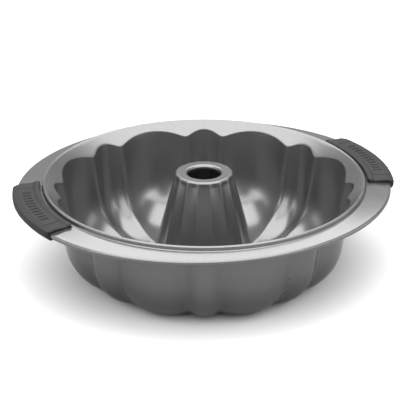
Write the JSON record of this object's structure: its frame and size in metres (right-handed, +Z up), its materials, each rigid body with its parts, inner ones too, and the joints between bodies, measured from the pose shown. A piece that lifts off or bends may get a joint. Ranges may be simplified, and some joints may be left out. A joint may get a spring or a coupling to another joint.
{
  "type": "fluted tube pan",
  "caption": "Round fluted cake pan with a tapering centre tube, a scalloped shelf, an oval rolled flange and silicone grips at both ends.",
  "frame": {"origin": "on the table, under the centre of the pan", "axes": "+Z up along the tube, +X along the grips, +Y across the short side of the oval flange"},
  "size_m": [0.3064, 0.278, 0.0888],
  "materials": {
    "coated_steel": "satin metallic non-stick coating",
    "steel_wire": "plain drawn wire",
    "silicone": "matte moulded silicone"
  },
  "bodies": {
    "root": {"pan_body": "coated_steel", "centre_tube": "coated_steel", "rim_wire": "steel_wire", "left_grip": "silicone", "right_grip": "silicone"}
  },
  "joints": []
}
